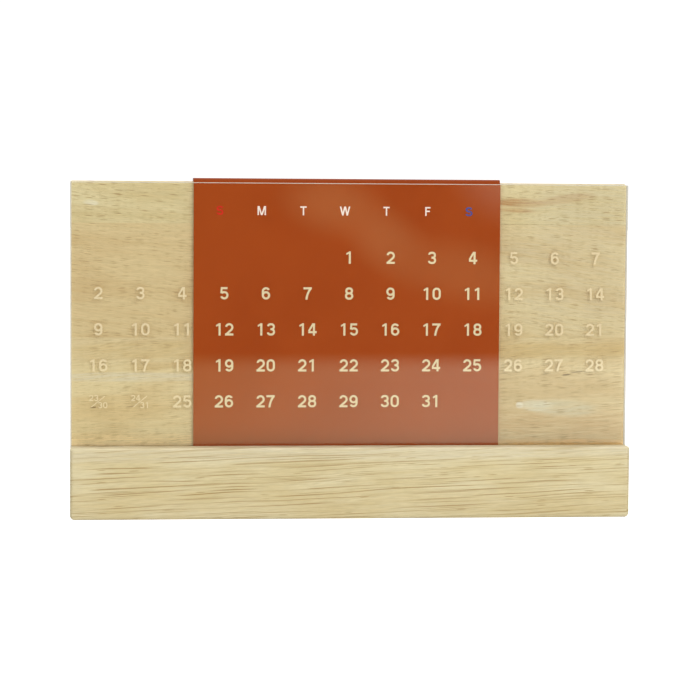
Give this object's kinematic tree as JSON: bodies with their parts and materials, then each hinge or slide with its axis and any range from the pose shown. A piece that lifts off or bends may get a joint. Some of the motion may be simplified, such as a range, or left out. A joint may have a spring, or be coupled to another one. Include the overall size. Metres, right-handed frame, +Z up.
{
  "type": "perpetual calendar",
  "caption": "Wooden perpetual desk calendar: a board in a grooved base, clear date sheet in front, and a folded red-brown sheet that slides between them.",
  "frame": {"origin": "middle of the underside of the base block, on the surface that it stands on", "axes": "+X along the width to the reader's right, +Y from the date side to the back, +Z up"},
  "size_m": [0.15, 0.025, 0.0906],
  "materials": {
    "base_wood": "sanded rubberwood, clear matt lacquer",
    "board_wood": "sanded edge-glued rubberwood, clear matt lacquer",
    "spacer_wood": "raw sawn rubberwood strip",
    "clear_acrylic": "polished clear acrylic with bevelled edges",
    "slider_plastic": "satin folded sheet",
    "ivory_ink": "screen-printed opaque ink",
    "white_ink": "screen-printed opaque ink",
    "red_ink": "screen-printed opaque ink",
    "blue_ink": "screen-printed opaque ink"
  },
  "bodies": {
    "stand": {"base_block": "base_wood", "board_strip_bottom": "board_wood", "board_strip_middle": "board_wood", "board_strip_top": "board_wood", "gap_spacer": "spacer_wood", "acrylic_cover": "clear_acrylic", "date_numerals": "ivory_ink"},
    "slider": {"slider_sheet": "slider_plastic", "weekday_letters": "white_ink", "sunday_letter": "red_ink", "saturday_letter": "blue_ink"}
  },
  "joints": [
    {"name": "month_slide", "type": "slide", "parent": "stand", "child": "slider", "axis": [1, 0, 0], "range_m": [-0.03275, 0.03475]}
  ]
}
